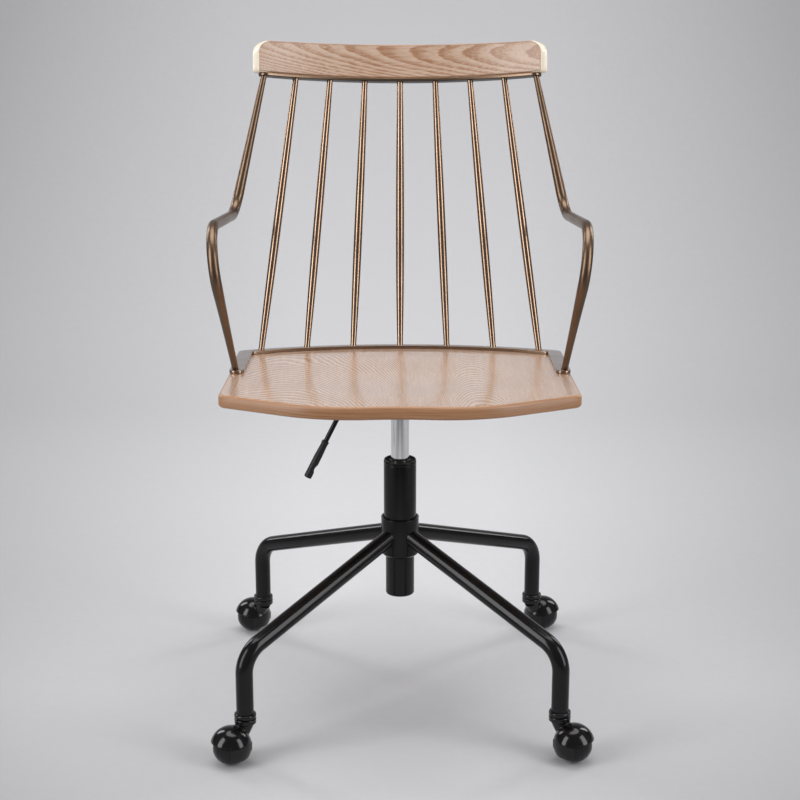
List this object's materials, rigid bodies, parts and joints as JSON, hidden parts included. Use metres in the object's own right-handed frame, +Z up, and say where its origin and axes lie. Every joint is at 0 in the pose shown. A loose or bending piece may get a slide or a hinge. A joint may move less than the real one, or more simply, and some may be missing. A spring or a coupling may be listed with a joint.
{
  "type": "swivel armchair",
  "caption": "Height-adjustable swivel armchair with a wooden seat and crest rail, a metal spindle back, bent arms and a four-legged base on hooded ball casters.",
  "frame": {"origin": "on the floor under the lift column's axis", "axes": "+Z up, -Y towards the sitter's front, +X to the right as seen from the front"},
  "size_m": [0.566, 0.6468, 0.9903],
  "materials": {
    "limed_oak": "limed oak under a satin lacquer",
    "antique_brass": "antique brass plating, satin",
    "black_enamel": "gloss black powder coat",
    "lift_chrome": "polished chrome",
    "raw_steel": "zinc plated steel",
    "black_plastic": "moulded black nylon",
    "bumper_rubber": "black rubber"
  },
  "bodies": {
    "base": {"lower_race": "raw_steel", "bearing_balls": "raw_steel", "column_tube": "black_enamel", "guide_bush": "black_plastic", "hub_collar": "black_enamel", "leg_1": "black_enamel", "leg_2": "black_enamel", "leg_3": "black_enamel", "leg_4": "black_enamel", "stem_socket_1": "black_enamel", "stem_socket_2": "black_enamel", "stem_socket_3": "black_enamel", "stem_socket_4": "black_enamel"},
    "rod": {"piston_rod": "raw_steel", "retaining_clip": "raw_steel", "upper_race": "raw_steel", "bumper": "bumper_rubber"},
    "seat": {"seat": "limed_oak", "rear_rail": "antique_brass", "frame_bolts": "raw_steel", "crest_strap": "antique_brass", "crest_rail": "limed_oak", "crest_screws": "raw_steel", "mount_plate": "black_enamel", "mount_screws": "raw_steel", "taper_socket": "black_enamel", "lever_bracket": "black_enamel", "lever_pivot_pin": "raw_steel", "pressure_tube": "lift_chrome", "end_guide": "black_plastic", "arm_left": "antique_brass", "arm_right": "antique_brass", "corner_plate_left": "antique_brass", "corner_plate_right": "antique_brass", "spindle_1": "antique_brass", "spindle_2": "antique_brass", "spindle_3": "antique_brass", "spindle_4": "antique_brass", "spindle_5": "antique_brass", "spindle_6": "antique_brass", "spindle_7": "antique_brass"},
    "lever": {"lever_rod": "black_enamel", "lever_grip": "black_plastic"},
    "pin": {"release_pin": "raw_steel"},
    "caster_1": {"caster_hood_1": "black_enamel", "caster_stem_1": "raw_steel", "caster_axle_1": "raw_steel"},
    "wheel_1": {"caster_wheel_1": "black_plastic"},
    "caster_2": {"caster_hood_2": "black_enamel", "caster_stem_2": "raw_steel", "caster_axle_2": "raw_steel"},
    "wheel_2": {"caster_wheel_2": "black_plastic"},
    "caster_3": {"caster_hood_3": "black_enamel", "caster_stem_3": "raw_steel", "caster_axle_3": "raw_steel"},
    "wheel_3": {"caster_wheel_3": "black_plastic"},
    "caster_4": {"caster_hood_4": "black_enamel", "caster_stem_4": "raw_steel", "caster_axle_4": "raw_steel"},
    "wheel_4": {"caster_wheel_4": "black_plastic"}
  },
  "joints": [
    {"name": "seat_swivel", "type": "hinge", "parent": "base", "child": "rod", "pos_m": [0, 0, 0.17], "axis": [0, 0, 1], "continuous": true},
    {"name": "seat_lift", "type": "slide", "parent": "rod", "child": "seat", "axis": [0, 0, 1], "range_m": [-0.06, 0.02]},
    {"name": "lever_pull", "type": "hinge", "parent": "seat", "child": "lever", "pos_m": [-0.032, -0.00199, 0.48757], "axis": [0, 0.9976, -0.0698], "range_deg": [0, 6], "stiffness_Nm_per_rad": 2, "springref_deg": -5.73},
    {"name": "pin_press", "type": "slide", "parent": "seat", "child": "pin", "axis": [0, 0, -1], "range_m": [0, 0.0035]},
    {"name": "caster_swivel_1", "type": "hinge", "parent": "base", "child": "caster_1", "pos_m": [-0.22403, -0.23199, 0.06], "axis": [0, 0, 1], "continuous": true},
    {"name": "wheel_roll_1", "type": "hinge", "parent": "caster_1", "child": "wheel_1", "pos_m": [-0.24403, -0.24999, 0.027], "axis": [1, 0, 0], "continuous": true},
    {"name": "caster_swivel_2", "type": "hinge", "parent": "base", "child": "caster_2", "pos_m": [0.23199, -0.22403, 0.06], "axis": [0, 0, 1], "continuous": true},
    {"name": "wheel_roll_2", "type": "hinge", "parent": "caster_2", "child": "wheel_2", "pos_m": [0.25199, -0.24203, 0.027], "axis": [1, 0, 0], "continuous": true},
    {"name": "caster_swivel_3", "type": "hinge", "parent": "base", "child": "caster_3", "pos_m": [0.22403, 0.23199, 0.06], "axis": [0, 0, 1], "continuous": true},
    {"name": "wheel_roll_3", "type": "hinge", "parent": "caster_3", "child": "wheel_3", "pos_m": [0.24403, 0.24999, 0.027], "axis": [1, 0, 0], "continuous": true},
    {"name": "caster_swivel_4", "type": "hinge", "parent": "base", "child": "caster_4", "pos_m": [-0.23199, 0.22403, 0.06], "axis": [0, 0, 1], "continuous": true},
    {"name": "wheel_roll_4", "type": "hinge", "parent": "caster_4", "child": "wheel_4", "pos_m": [-0.25199, 0.24203, 0.027], "axis": [1, 0, 0], "continuous": true}
  ],
  "couplings": [
    {"joint": "pin_press", "follows": "lever_pull", "m_per_rad": 0.032}
  ]
}
